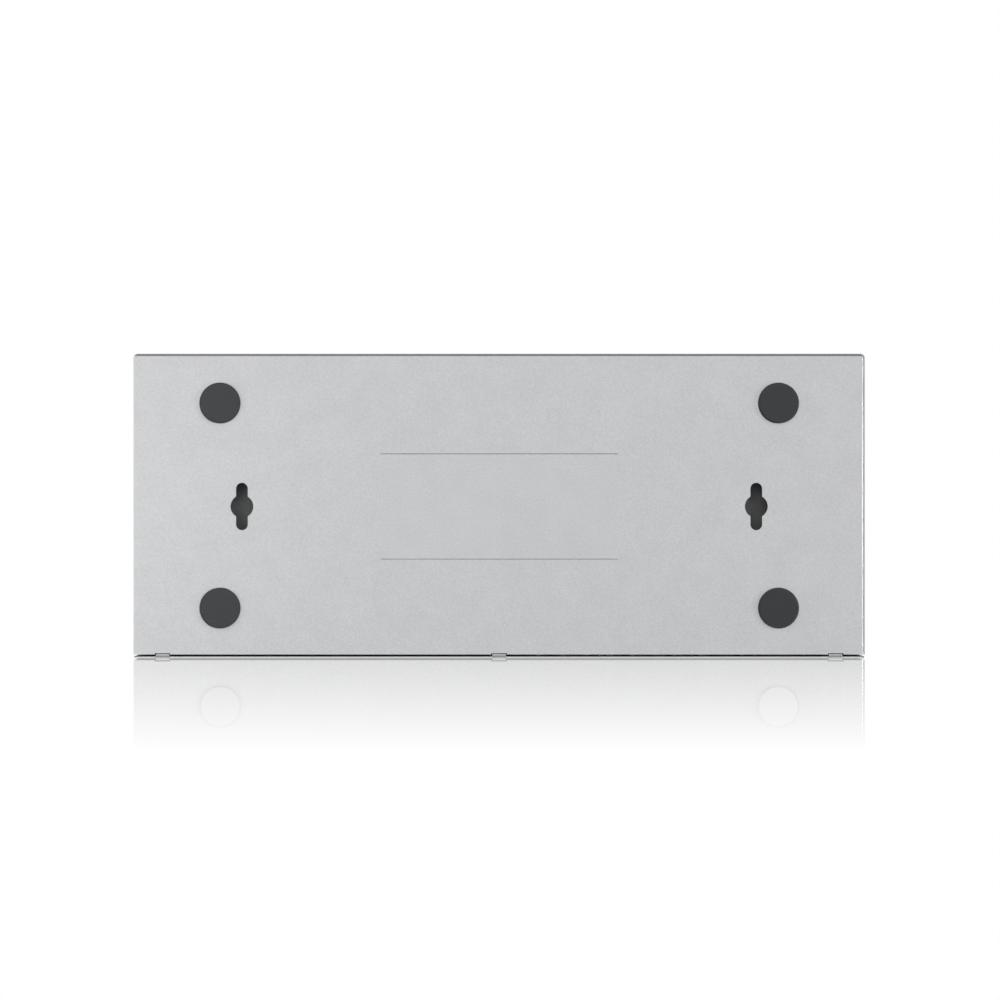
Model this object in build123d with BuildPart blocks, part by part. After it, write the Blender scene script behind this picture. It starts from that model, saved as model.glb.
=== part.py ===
from build123d import *
import os

# Desktop ethernet switch: a folded steel tray and cover round one circuit board with eight sockets.
# Millimetres, +Z up. The origin is the centre of the plane that the feet stand on.
# -Y is the front, with the indicator lights. +Y is the rear, with the sockets.

# Case
case_width = 250.0
case_depth = 104.0
case_height = 27.0
foot_stand = 2.0
tray_sheet = 0.8
tray_bend_inner = 0.5
tray_corner_round = 1.5
tray_wall_drop = 0.5
cover_sheet = 0.6
cover_bend_inner = 0.4
cover_lip = 10.0
cover_edge_ease = 0.1
cover_end_inset = 0.35
nest_gap = 0.2
seam_gap = 0.6
flange_edge_round = 0.4

# Hook tabs of the cover in the notches of the tray
tab_end_inset = 10.0
tab_width = 4.6
tab_relief = 0.35
tab_reach = 4.0
tab_bend_inner = 0.25
tab_lift = 0.08
notch_depth = 0.42
notch_width = 5.3

# Underside
foot_side_inset = 29.65
foot_end_inset = 17.0
foot_diameter = 13.9
foot_shift_x = -0.06
foot_shift_y = 0.06
foot_edge_cut = 0.6
seat_depth = 0.4
seat_clearance = 0.17
seat_draft = 0.05
keyhole_spacing = 175.7
keyhole_offset_y = -0.25
keyhole_head = 7.8
keyhole_slot_width = 4.0
keyhole_slot_length = 16.2
label_width = 81.2
label_depth = 36.2
label_offset_y = -0.25
label_recess = 0.25

# Vents and lock slot
vent_count = 11
vent_pitch = 5.0
vent_width = 2.0
vent_height = 8.5
vent_corner_cut = 0.6
vent_centre_z = 11.0
vent_centre_y = 0.0
lock_slot_width = 7.0
lock_slot_height = 3.2
lock_slot_round = 0.8
lock_slot_inset = 70.0
lock_slot_z = 15.25

# Cover screws, countersunk into dimples of the rear wall
cover_screw_inset = 10.0
cover_screw_drop = 5.6
cover_screw_head = 5.6
cover_screw_shank = 3.0
cover_screw_length = 6.0
ear_width = 14.0
collar_wall = 0.75
collar_depth = 4.0
thread_clearance = 0.05
head_clearance = 0.1
recess_width = 0.7
recess_span = 2.6
recess_depth = 1.0

# Posts, film and board. A post is placed from the nearer side of the case, then from its nearer long edge
rear_right_post = (16.3, 22.6)
rear_left_post = (49.5, 19.6)
front_right_post = (11.5, 12.5)
front_left_post = (18.0, 10.0)
middle_post_x = 9.0
middle_post_inset = 6.0
block_post_gap = 4.5
block_post_inset = 21.3
post_shoulder_size = 6.0
post_neck_size = 4.6
post_bore_floor = 1.5
film_drop = 2.25
film_thickness = 0.25
film_margin = 1.5
film_corner_cut = 1.5
film_hole_clearance = 0.3
board_left_inset = 13.0
board_right_inset = 6.5
board_front_inset = 2.4
board_rear_inset = 3.5
board_thickness = 1.6
board_corner_round = 1.5
board_hole_diameter = 3.4
board_screw_head = 5.5
board_screw_shank = 3.0
board_screw_head_height = 1.9
board_screw_end_gap = 0.6

# Socket blocks
block_side_inset = 21.6
port_pitch = 14.0
ports_per_block = 4
block_margin = 0.9
block_gap = 2.0
block_height = 13.4
block_headroom = 2.1
block_depth = 21.4
block_recess = 0.1
block_opening_gap = 0.3
shield_sheet = 0.3
shield_clearance = 0.05
port_width = 11.8
port_sill = 4.6
port_roof = 11.5
port_depth = 13.0
latch_width = 6.3
latch_sill = 3.0
latch_slot_width = 3.6
latch_slot_sill = 1.7
mouth_chamfer = 0.3
shield_lip = 0.35
contacts_per_port = 8
contact_pitch = 1.02
contact_width = 0.45
contact_thickness = 0.3
contact_start = 2.6
contact_drop = 1.9
shield_leg_width = 1.8
shield_leg_reach = 2.2
shield_leg_insets = (6.4, 16.0)
leg_slot_clearance = 0.2

# Power inlet
inlet_inset = 30.0
inlet_width = 9.0
inlet_height = 11.0
inlet_depth = 14.0
inlet_axis_height = 6.4
inlet_bore = 6.4
inlet_bore_depth = 10.0
inlet_pin_diameter = 2.1
inlet_pin_inset = 0.9
inlet_pin_tip_cut = 0.5
inlet_opening_gap = 0.3
inlet_back_slope = 3.0
inlet_spring_width = 2.2
inlet_spring_sheet = 0.3
inlet_spring_crown = 5.0
inlet_spring_reach = 7.5

# Indicator lights
light_count = 8
light_pitch = 8.0
light_first_inset = 55.0
power_light_inset = 41.0
light_rise = 6.1
pipe_width = 2.4
pipe_height = 3.2
pipe_gap = 0.2
pipe_corner_cut = 0.5
pipe_bar_height = 2.0
pipe_bar_width = 1.6
light_inset = 7.5
light_length = 1.6
light_width = 1.0
light_height = 0.7

# Parts on the board. The power parts and the left field of small parts are placed along +X from the inlet's
# axis, the right field from the +X side of the case, and all of them forward from the rear wall
chip_x = 30.0
chip_size = 20.0
chip_height = 1.4
chip_corner_cut = 0.8
pad_thickness = 0.5
heatsink_size = 32.0
heatsink_height = 10.5
heatsink_base = 2.0
heatsink_gap = 2.5
fin_count = 8
fin_thickness = 1.2
transformer_length = 25.5
transformer_width = 15.0
transformer_height = 5.8
transformer_setback = 5.0
transformer_chamfer = 0.6
capacitor_diameter = 10.0
capacitor_height = 12.0
capacitor_steps = [(-1.0, 29.0), (10.5, 32.0)]
inductor_size = 10.0
inductor_height = 4.5
inductor_corner_cut = 1.7
inductor_steps = [(29.0, 40.0), (43.0, 40.0)]
regulator_steps = [(29.0, 56.0), (43.0, 56.0)]
regulator_length = 5.0
regulator_width = 4.0
regulator_height = 1.5
memory_step = (-28.0, -16.0)
crystal_step = (26.0, -10.0)
crystal_length = 11.0
crystal_width = 4.6
crystal_height = 3.4
small_part_length = 2.0
small_part_width = 1.25
small_part_height = 0.9
small_part_pitch = 4.0
small_part_row_pitch = 5.0
small_part_columns = 8
small_part_rows = 3
right_field_step = (45.0, 56.0)
left_field_step = (71.0, 58.0)
light_part_gap = 5.0

# Worked-out sizes
half_width = case_width / 2
front_y = -case_depth / 2
rear_y = case_depth / 2
floor_z = foot_stand
floor_top_z = floor_z + tray_sheet
wall_top_z = case_height - tray_wall_drop
tray_bend = tray_bend_inner + tray_sheet
tray_front_y = front_y + cover_sheet + seam_gap
cover_bend = cover_bend_inner + cover_sheet
cover_under_z = case_height - cover_sheet
tab_spacing = half_width - tab_end_inset
foot_spacing_x = case_width - 2 * foot_side_inset
foot_spacing_y = case_depth - 2 * foot_end_inset
lock_slot_x = lock_slot_inset - half_width
cover_screw_spacing = case_width - 2 * cover_screw_inset
cover_screw_z = case_height - cover_screw_drop
cover_half_width = half_width - tray_sheet - nest_gap
cover_rear_y = rear_y - tray_sheet - nest_gap
flange_width = case_width - 2 * cover_end_inset
slant = 2**0.5
fold_shift = tray_sheet * (slant - 1)
block_top_z = cover_under_z - block_headroom
board_top_z = block_top_z - block_height
board_z = board_top_z - board_thickness
board_left = board_left_inset - half_width
board_right = half_width - board_right_inset
board_front = front_y + board_front_inset
board_rear = rear_y - board_rear_inset
film_z = board_z - film_drop
post_bore_depth = board_z - floor_top_z - post_bore_floor
board_screw_length = board_thickness + post_bore_depth - board_screw_end_gap
block_width = ports_per_block * port_pitch + 2 * block_margin
block_front_y = rear_y - block_recess
block_back_y = block_front_y - block_depth
block_centres = [
    half_width - block_side_inset - block_width / 2 - n * (block_width + block_gap)
    for n in (0, 1)
]
block_end_x = block_centres[-1] - block_width / 2
post_places = [
    (half_width - rear_right_post[0], rear_y - rear_right_post[1]),
    (block_end_x - block_post_gap, rear_y - block_post_inset),
    (rear_left_post[0] - half_width, rear_y - rear_left_post[1]),
    (half_width - front_right_post[0], front_y + front_right_post[1]),
    (middle_post_x, front_y + middle_post_inset),
    (front_left_post[0] - half_width, front_y + front_left_post[1]),
]
inlet_x = inlet_inset - half_width
light_insets = [power_light_inset] + [light_first_inset + light_pitch * n for n in range(light_count)]
light_places = [inset - half_width for inset in light_insets]
light_axis_z = board_top_z + light_rise
light_y = front_y + light_inset

# Planes whose local Z runs into the case through its rear and its front face
rear_face = Plane(origin=(0, rear_y, 0), x_dir=(1, 0, 0), z_dir=(0, -1, 0))
front_face = Plane(origin=(0, front_y, 0), x_dir=(-1, 0, 0), z_dir=(0, 1, 0))

# Bottom tray: floor, rear wall and side walls folded from one sheet
dimple_mouth = cover_screw_head / 2 + head_clearance
dimple_hole = cover_screw_shank / 2 + head_clearance
dimple_outer = dimple_mouth + tray_sheet * slant
dimple_end = dimple_mouth - dimple_hole + tray_sheet / 2
keyhole_places = [(-keyhole_spacing / 2, keyhole_offset_y), (keyhole_spacing / 2, keyhole_offset_y)]
seat_radius = foot_diameter / 2 + seat_clearance
with BuildPart() as bottom_tray:
    with BuildSketch(Plane.XY.offset(floor_z)):
        with Locations((0, (tray_front_y + rear_y) / 2)):
            Rectangle(case_width, rear_y - tray_front_y)
    extrude(amount=wall_top_z - floor_z)
    rear_corners = bottom_tray.edges().filter_by(Axis.Z).group_by(Axis.Y)[-1]
    fillet(rear_corners, tray_corner_round)
    underside = bottom_tray.faces().sort_by(Axis.Z)[0]
    fillet(underside.edges().sort_by(Axis.Y)[1:], tray_bend)
    open_top = bottom_tray.faces().sort_by(Axis.Z)[-1]
    open_front = bottom_tray.faces().sort_by(Axis.Y)[0]
    offset(amount=-tray_sheet, openings=[open_top, open_front])

    # Round seats for the feet, half sheared, and the blank label recess, pressed up into the floor
    with Locations((0, 0, floor_top_z)):
        with GridLocations(foot_spacing_x, foot_spacing_y, 2, 2):
            Cone(
                seat_radius,
                seat_radius - seat_draft,
                seat_depth,
                align=(Align.CENTER, Align.CENTER, Align.MIN),
            )
    with Locations((0, 0, floor_z)):
        with GridLocations(foot_spacing_x, foot_spacing_y, 2, 2):
            Cone(
                seat_radius,
                seat_radius - seat_draft,
                seat_depth,
                align=(Align.CENTER, Align.CENTER, Align.MIN),
                mode=Mode.SUBTRACT,
            )
    with BuildSketch(Plane.XY.offset(floor_top_z)):
        with Locations((0, label_offset_y)):
            Rectangle(label_width + 2 * fold_shift, label_depth + 2 * fold_shift)
    extrude(amount=label_recess, taper=45)
    with BuildSketch(Plane.XY.offset(floor_z)):
        with Locations((0, label_offset_y)):
            Rectangle(label_width, label_depth)
    extrude(amount=label_recess, taper=45, mode=Mode.SUBTRACT)

    # Keyholes and the notches for the hook tabs
    with BuildSketch(Plane.XY.offset(floor_z)):
        with Locations(*keyhole_places):
            Circle(keyhole_head / 2)
            SlotOverall(keyhole_slot_length, keyhole_slot_width, rotation=90)
        with Locations((0, tray_front_y)):
            with GridLocations(tab_spacing, 1, 3, 1):
                Rectangle(notch_width, 2 * notch_depth)
    extrude(amount=tray_sheet, mode=Mode.SUBTRACT)

    # Openings of the rear wall
    with BuildSketch(rear_face):
        with Locations(*[(x, board_top_z + block_height / 2) for x in block_centres]):
            Rectangle(block_width + 2 * block_opening_gap, block_height + 2 * block_opening_gap)
        with Locations((inlet_x, board_top_z + inlet_height / 2)):
            Rectangle(inlet_width + 2 * inlet_opening_gap, inlet_height + 2 * inlet_opening_gap)
        with Locations((lock_slot_x, lock_slot_z)):
            RectangleRounded(lock_slot_width, lock_slot_height, lock_slot_round)
    extrude(amount=tray_sheet, mode=Mode.SUBTRACT)

    # Dimples that take the countersunk screw heads
    with Locations(rear_face):
        with Locations(
            (-cover_screw_spacing / 2, cover_screw_z, tray_sheet),
            (cover_screw_spacing / 2, cover_screw_z, tray_sheet),
        ):
            Cone(
                dimple_outer - tray_sheet,
                dimple_outer - dimple_end,
                dimple_end - tray_sheet,
                align=(Align.CENTER, Align.CENTER, Align.MIN),
            )
        with Locations(
            (-cover_screw_spacing / 2, cover_screw_z, 0),
            (cover_screw_spacing / 2, cover_screw_z, 0),
        ):
            Cone(
                dimple_mouth,
                dimple_hole,
                dimple_mouth - dimple_hole,
                align=(Align.CENTER, Align.CENTER, Align.MIN),
                mode=Mode.SUBTRACT,
            )
            Cylinder(
                dimple_hole,
                dimple_end,
                align=(Align.CENTER, Align.CENTER, Align.MIN),
                mode=Mode.SUBTRACT,
            )

    # Air slots through both side walls
    with BuildSketch(Plane.YZ.offset(-half_width)):
        with Locations((vent_centre_y, vent_centre_z)):
            with GridLocations(vent_pitch, 1, vent_count, 1):
                Rectangle(vent_width, vent_height)
        chamfer(vertices(), vent_corner_cut)
    extrude(amount=case_width, mode=Mode.SUBTRACT)
bottom_tray.part.label = "bottom_tray"
export_step(bottom_tray.part, "parts/bottom_tray.step")

# Top cover: top, front flange, side lips and rear lip folded from one sheet
nest_mouth = dimple_outer + nest_gap * slant
ear_outer = nest_mouth + cover_sheet * slant
nest_start = tray_sheet + nest_gap
nest_end = dimple_end + nest_gap
ear_inner = nest_start + cover_sheet
collar_radius = cover_screw_shank / 2 + thread_clearance + collar_wall
tab_outer = tab_bend_inner + cover_sheet
tab_under_z = floor_top_z + tab_lift
tab_window = tab_width + 2 * tab_relief
rear_lip_z = block_top_z + 2 * block_opening_gap
with BuildPart() as top_cover:
    with BuildSketch(Plane.XY.offset(case_height)):
        with Locations((0, (front_y + cover_bend + cover_rear_y) / 2)):
            Rectangle(2 * cover_half_width, cover_rear_y - front_y - cover_bend)
    extrude(amount=-cover_lip)
    rear_corners = top_cover.edges().filter_by(Axis.Z).group_by(Axis.Y)[-1]
    fillet(rear_corners, cover_bend + cover_bend_inner)
    top_face = top_cover.faces().sort_by(Axis.Z)[-1]
    fillet(top_face.edges().sort_by(Axis.Y)[1:], cover_bend)
    open_under = top_cover.faces().sort_by(Axis.Z)[0]
    open_front = top_cover.faces().sort_by(Axis.Y)[0]
    offset(amount=-cover_sheet, openings=[open_under, open_front])

    # Front flange with its bend into the top
    with BuildSketch(Plane.YZ.offset(-flange_width / 2)):
        with BuildLine():
            bend_centre = (front_y + cover_bend, case_height - cover_bend)
            outside = CenterArc(bend_centre, cover_bend, 90, 90)
            inside = CenterArc(bend_centre, cover_bend_inner, 90, 90)
            Line(outside @ 0, inside @ 0)
            Polyline(
                outside @ 1,
                (front_y, floor_z),
                (front_y + cover_sheet, floor_z),
                inside @ 1,
            )
        make_face()
        flange_edge = vertices().group_by(Axis.Y)[0].sort_by(Axis.X)
        fillet(flange_edge[0], cover_edge_ease)
        fillet(flange_edge[-1], flange_edge_round)
    extrude(amount=flange_width)

    # Hook tabs, bent in over the tray floor out of windows in the flange
    with BuildSketch(front_face):
        with Locations((0, floor_z)):
            with GridLocations(tab_spacing, 1, 3, 1):
                Rectangle(tab_window, 2 * (tab_under_z + tab_outer - floor_z))
    extrude(amount=cover_sheet, mode=Mode.SUBTRACT)
    tab_planes = [Plane.YZ.offset(n * tab_spacing - tab_width / 2) for n in (-1, 0, 1)]
    with BuildSketch(*tab_planes):
        with BuildLine():
            bend_centre = (front_y + tab_outer, tab_under_z + tab_outer)
            outside = CenterArc(bend_centre, tab_outer, 180, 90)
            inside = CenterArc(bend_centre, tab_bend_inner, 180, 90)
            Line(outside @ 0, inside @ 0)
            Polyline(
                outside @ 1,
                (front_y + tab_outer + tab_reach, tab_under_z),
                (front_y + tab_outer + tab_reach, tab_under_z + cover_sheet),
                inside @ 1,
            )
        make_face()
    extrude(amount=tab_width)

    # Windows for the indicator lights
    with BuildSketch(front_face):
        with Locations(*[(-x, light_axis_z) for x in light_places]):
            Rectangle(pipe_width + 2 * pipe_gap, pipe_height + 2 * pipe_gap)
        chamfer(vertices(), pipe_corner_cut)
    extrude(amount=cover_sheet, mode=Mode.SUBTRACT)

    # Rear lip cut short above the sockets, so that an ear is left at each end
    with BuildSketch(rear_face):
        with Locations((0, (case_height - cover_lip + rear_lip_z) / 2)):
            Rectangle(2 * (cover_half_width - ear_width), rear_lip_z - case_height + cover_lip)
    extrude(amount=nest_start + 2 * cover_bend, mode=Mode.SUBTRACT)

    # Ears nested behind the dimples, each drawn into a threaded collar
    with Locations(rear_face):
        with Locations(
            (-cover_screw_spacing / 2, cover_screw_z, ear_inner),
            (cover_screw_spacing / 2, cover_screw_z, ear_inner),
        ):
            Cone(
                ear_outer - ear_inner,
                ear_outer - nest_end - cover_sheet,
                nest_end + cover_sheet - ear_inner,
                align=(Align.CENTER, Align.CENTER, Align.MIN),
            )
            Cylinder(
                collar_radius,
                collar_depth - ear_inner,
                align=(Align.CENTER, Align.CENTER, Align.MIN),
            )
        with Locations(
            (-cover_screw_spacing / 2, cover_screw_z, nest_start),
            (cover_screw_spacing / 2, cover_screw_z, nest_start),
        ):
            Cone(
                nest_mouth - nest_start,
                nest_mouth - nest_end,
                nest_end - nest_start,
                align=(Align.CENTER, Align.CENTER, Align.MIN),
                mode=Mode.SUBTRACT,
            )
            Cylinder(
                cover_screw_shank / 2 + thread_clearance,
                collar_depth,
                align=(Align.CENTER, Align.CENTER, Align.MIN),
                mode=Mode.SUBTRACT,
            )
top_cover.part.label = "top_cover"
export_step(top_cover.part, "parts/top_cover.step")

# Countersunk cover screws with a cross recess
with BuildPart() as cover_screws:
    with Locations(rear_face):
        with Locations(
            (-cover_screw_spacing / 2, cover_screw_z, head_clearance),
            (cover_screw_spacing / 2, cover_screw_z, head_clearance),
        ):
            Cone(
                cover_screw_head / 2,
                cover_screw_shank / 2,
                (cover_screw_head - cover_screw_shank) / 2,
                align=(Align.CENTER, Align.CENTER, Align.MIN),
            )
            Cylinder(
                cover_screw_shank / 2,
                cover_screw_length,
                align=(Align.CENTER, Align.CENTER, Align.MIN),
            )
            Box(
                recess_span,
                recess_width,
                2 * recess_depth,
                mode=Mode.SUBTRACT,
            )
            Box(
                recess_width,
                recess_span,
                2 * recess_depth,
                mode=Mode.SUBTRACT,
            )
cover_screws.part.label = "cover_screws"
export_step(cover_screws.part, "parts/cover_screws.step")

# Rubber feet, each a turned button stuck a little off the centre of its seat
foot_names = {
    "foot_front_left": (-1, -1),
    "foot_front_right": (1, -1),
    "foot_rear_left": (-1, 1),
    "foot_rear_right": (1, 1),
}
for foot_name, (side_x, side_y) in foot_names.items():
    foot_axis = Plane(
        origin=(
            side_x * foot_spacing_x / 2 + foot_shift_x,
            side_y * foot_spacing_y / 2 + foot_shift_y,
            0,
        ),
        x_dir=(1, 0, 0),
        z_dir=(0, -1, 0),
    )
    with BuildPart() as foot:
        with BuildSketch(foot_axis):
            with BuildLine():
                Polyline(
                    (0, 0),
                    (foot_diameter / 2, 0),
                    (foot_diameter / 2, foot_stand + seat_depth),
                    (0, foot_stand + seat_depth),
                    close=True,
                )
            make_face()
            chamfer(vertices().sort_by_distance((foot_diameter / 2, 0))[0], foot_edge_cut)
        revolve(axis=Axis(foot_axis.origin, (0, 0, 1)))
    foot.part.label = foot_name
    export_step(foot.part, f"parts/{foot_name}.step")

# Hexagonal posts welded to the floor, each with a shoulder for the film and a neck for the board
with BuildPart() as board_posts:
    with BuildSketch(Plane.XY.offset(floor_top_z)):
        with Locations(*post_places):
            RegularPolygon(post_shoulder_size / 2, 6, major_radius=False)
    extrude(amount=film_z - floor_top_z)
    with BuildSketch(Plane.XY.offset(film_z)):
        with Locations(*post_places):
            RegularPolygon(post_neck_size / 2, 6, major_radius=False)
    extrude(amount=film_drop)
    with Locations(*[(x, y, board_z) for x, y in post_places]):
        Hole(board_screw_shank / 2 + thread_clearance, depth=post_bore_depth)
board_posts.part.label = "board_posts"
export_step(board_posts.part, "parts/board_posts.step")

# Insulating film on the shoulders of the posts
with BuildPart() as insulating_film:
    with BuildSketch(Plane.XY.offset(film_z)):
        with Locations(((board_left + board_right) / 2, (board_front + board_rear) / 2)):
            Rectangle(
                board_right - board_left - 2 * film_margin,
                board_rear - board_front - 2 * film_margin,
            )
        chamfer(vertices(), film_corner_cut)
        with Locations(*post_places):
            RegularPolygon(
                post_neck_size / 2 + film_hole_clearance,
                6,
                major_radius=False,
                mode=Mode.SUBTRACT,
            )
    extrude(amount=film_thickness)
insulating_film.part.label = "insulating_film"
export_step(insulating_film.part, "parts/insulating_film.step")

# Circuit board with its screw holes and the slots for the legs of the shields
leg_places = [
    (x + side * (block_width - shield_sheet) / 2, block_front_y - inset)
    for x in block_centres
    for side in (-1, 1)
    for inset in shield_leg_insets
]
with BuildPart() as main_board:
    with BuildSketch(Plane.XY.offset(board_z)):
        with Locations(((board_left + board_right) / 2, (board_front + board_rear) / 2)):
            RectangleRounded(board_right - board_left, board_rear - board_front, board_corner_round)
        with Locations(*post_places):
            Circle(board_hole_diameter / 2, mode=Mode.SUBTRACT)
        with Locations(*leg_places):
            Rectangle(
                shield_sheet + 2 * leg_slot_clearance,
                shield_leg_width + 2 * leg_slot_clearance,
                mode=Mode.SUBTRACT,
            )
    extrude(amount=board_thickness)
main_board.part.label = "main_board"
export_step(main_board.part, "parts/main_board.step")

# Hexagon-head screws with a cross recess that hold the board on the posts
with BuildPart() as board_screws:
    with BuildSketch(Plane.XY.offset(board_top_z)):
        with Locations(*post_places):
            RegularPolygon(board_screw_head / 2, 6, major_radius=False)
    extrude(amount=board_screw_head_height)
    with Locations(*[(x, y, board_top_z) for x, y in post_places]):
        Cylinder(
            board_screw_shank / 2,
            board_screw_length,
            align=(Align.CENTER, Align.CENTER, Align.MAX),
        )
    with Locations(*[(x, y, board_top_z + board_screw_head_height) for x, y in post_places]):
        Box(recess_span, recess_width, 2 * recess_depth, mode=Mode.SUBTRACT)
        Box(recess_width, recess_span, 2 * recess_depth, mode=Mode.SUBTRACT)
board_screws.part.label = "board_screws"
export_step(board_screws.part, "parts/board_screws.step")

# Socket blocks of four ports: a moulded insert and its contacts inside a folded metal shield
port_steps = [
    (port_width, port_sill, port_roof),
    (latch_width, latch_sill, port_sill),
    (latch_slot_width, latch_slot_sill, latch_sill),
]
insert_inset = shield_sheet + shield_clearance
cavity_end_y = rear_y - port_depth
roof_z = board_top_z + port_roof
for block_name, block_x in zip(("1_4", "5_8"), block_centres):
    with BuildSketch(rear_face.offset(block_recess)) as port_mouths:
        for step_width, step_low, step_high in port_steps:
            with Locations((block_x, board_top_z + (step_low + step_high) / 2)):
                with GridLocations(port_pitch, 1, ports_per_block, 1):
                    Rectangle(step_width, step_high - step_low)
    shield_windows = offset(port_mouths.sketch, amount=shield_lip, kind=Kind.INTERSECTION)

    with BuildPart() as jack_housing:
        with BuildSketch(Plane.XY.offset(board_top_z)):
            with Locations((block_x, (block_front_y + block_back_y) / 2)):
                Rectangle(block_width - 2 * insert_inset, block_depth - 2 * insert_inset)
        extrude(amount=block_height - insert_inset)
        extrude(
            port_mouths.sketch,
            amount=port_depth - block_recess,
            dir=(0, -1, 0),
            mode=Mode.SUBTRACT,
        )
        insert_face = jack_housing.faces().sort_by(Axis.Y)[-1]
        chamfer(insert_face.inner_wires().edges(), mouth_chamfer)
    jack_housing.part.label = f"jack_housing_{block_name}"
    export_step(jack_housing.part, f"parts/jack_housing_{block_name}.step")

    with BuildPart() as jack_shield:
        with BuildSketch(Plane.XY.offset(board_top_z)):
            with Locations((block_x, (block_front_y + block_back_y) / 2)):
                Rectangle(block_width, block_depth)
        extrude(amount=block_height)
        offset(amount=-shield_sheet, openings=jack_shield.faces().sort_by(Axis.Z)[0])
        extrude(shield_windows, amount=shield_sheet, dir=(0, -1, 0), mode=Mode.SUBTRACT)
        with BuildSketch(Plane.XY.offset(board_top_z)):
            with Locations(*[place for place in leg_places if abs(place[0] - block_x) < block_width / 2]):
                Rectangle(shield_sheet, shield_leg_width)
        extrude(amount=-shield_leg_reach)
    jack_shield.part.label = f"jack_shield_{block_name}"
    export_step(jack_shield.part, f"parts/jack_shield_{block_name}.step")

    contact_places = [
        block_x + (port - (ports_per_block - 1) / 2) * port_pitch
        + (wire - (contacts_per_port - 1) / 2) * contact_pitch
        for port in range(ports_per_block)
        for wire in range(contacts_per_port)
    ]
    with BuildPart() as jack_contacts:
        with BuildSketch(*[Plane.YZ.offset(x) for x in contact_places]):
            with BuildLine():
                Polyline(
                    (block_front_y - contact_start, roof_z),
                    (block_front_y - contact_start, roof_z - contact_thickness),
                    (cavity_end_y, roof_z - contact_drop - contact_thickness),
                    (cavity_end_y, roof_z - contact_drop),
                    close=True,
                )
            make_face()
        extrude(amount=contact_width / 2, both=True)
    jack_contacts.part.label = f"jack_contacts_{block_name}"
    export_step(jack_contacts.part, f"parts/jack_contacts_{block_name}.step")

# Power inlet: moulded body with a round bore, centre pin and side spring
inlet_front_y = rear_y - block_recess
inlet_axis_z = board_top_z + inlet_axis_height
inlet_mouth = Plane(origin=(inlet_x, inlet_front_y, inlet_axis_z), x_dir=(1, 0, 0), z_dir=(0, -1, 0))
with BuildPart() as dc_jack_housing:
    with BuildSketch(Plane.XY.offset(board_top_z)):
        with Locations((inlet_x, inlet_front_y - inlet_depth / 2)):
            Rectangle(inlet_width, inlet_depth)
    extrude(amount=inlet_height)
    back_top = dc_jack_housing.edges().filter_by(Axis.X).group_by(Axis.Z)[-1].sort_by(Axis.Y)[0]
    chamfer(back_top, inlet_back_slope)
    with BuildSketch(inlet_mouth):
        Circle(inlet_bore / 2)
    extrude(amount=inlet_bore_depth, mode=Mode.SUBTRACT)
dc_jack_housing.part.label = "dc_jack_housing"
export_step(dc_jack_housing.part, "parts/dc_jack_housing.step")

with BuildPart() as dc_jack_pin:
    with BuildSketch(inlet_mouth.offset(inlet_bore_depth)):
        Circle(inlet_pin_diameter / 2)
    extrude(amount=inlet_pin_inset - inlet_bore_depth)
    chamfer(dc_jack_pin.edges().sort_by(Axis.Y)[-1], inlet_pin_tip_cut)
dc_jack_pin.part.label = "dc_jack_pin"
export_step(dc_jack_pin.part, "parts/dc_jack_pin.step")

spring_low_z = inlet_axis_z - inlet_bore / 2 + 2 * inlet_spring_sheet
spring_end_y = inlet_front_y - inlet_bore_depth + inlet_spring_sheet / 2
with BuildPart() as dc_jack_spring:
    with BuildSketch(Plane.YZ.offset(inlet_x)):
        with BuildLine():
            strip = Polyline(
                (spring_end_y, spring_low_z - inlet_spring_sheet / 2),
                (spring_end_y + inlet_spring_crown, spring_low_z + inlet_spring_sheet / 2),
                (spring_end_y + inlet_spring_reach, spring_low_z - inlet_spring_sheet / 2),
            )
            offset(strip, amount=inlet_spring_sheet / 2, side=Side.BOTH)
        make_face()
    extrude(amount=inlet_spring_width / 2, both=True)
dc_jack_spring.part.label = "dc_jack_spring"
export_step(dc_jack_spring.part, "parts/dc_jack_spring.step")

# Light guide: one clear moulding with an elbow over each light and a foot at each end
elbow_front_y = light_y - pipe_width / 2
elbow_back_y = light_y + pipe_width / 2
pipe_low_z = light_axis_z - pipe_height / 2
pipe_high_z = light_axis_z + pipe_height / 2
bar_y = (front_y + cover_sheet + elbow_front_y) / 2 + pipe_width / 2
foot_places = [
    (light_places[0] - light_pitch / 2, bar_y),
    (light_places[-1] + light_pitch / 2, bar_y),
]
with BuildPart() as light_guide:
    with BuildSketch(front_face):
        with Locations(*[(-x, light_axis_z) for x in light_places]):
            Rectangle(pipe_width, pipe_height)
        chamfer(vertices(), pipe_corner_cut)
    extrude(amount=elbow_front_y - front_y)
    with BuildSketch(*[Plane.YZ.offset(x) for x in light_places]):
        with BuildLine():
            Polyline(
                (elbow_front_y, pipe_high_z),
                (elbow_front_y, board_top_z + light_height + pipe_gap),
                (elbow_back_y, board_top_z + light_height + pipe_gap),
                (elbow_back_y, pipe_high_z - pipe_width),
                close=True,
            )
        make_face()
    extrude(amount=pipe_width / 2, both=True)
    with BuildSketch(Plane.XY.offset(light_axis_z - pipe_bar_height / 2)):
        with Locations(((foot_places[0][0] + foot_places[1][0]) / 2, bar_y)):
            Rectangle(foot_places[1][0] - foot_places[0][0], pipe_bar_width)
    extrude(amount=pipe_bar_height)
    with BuildSketch(Plane.XY.offset(board_top_z)):
        with Locations(*foot_places):
            Rectangle(pipe_width, pipe_bar_width)
    extrude(amount=light_axis_z + pipe_bar_height / 2 - board_top_z)
light_guide.part.label = "light_guide"
export_step(light_guide.part, "parts/light_guide.step")

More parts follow.
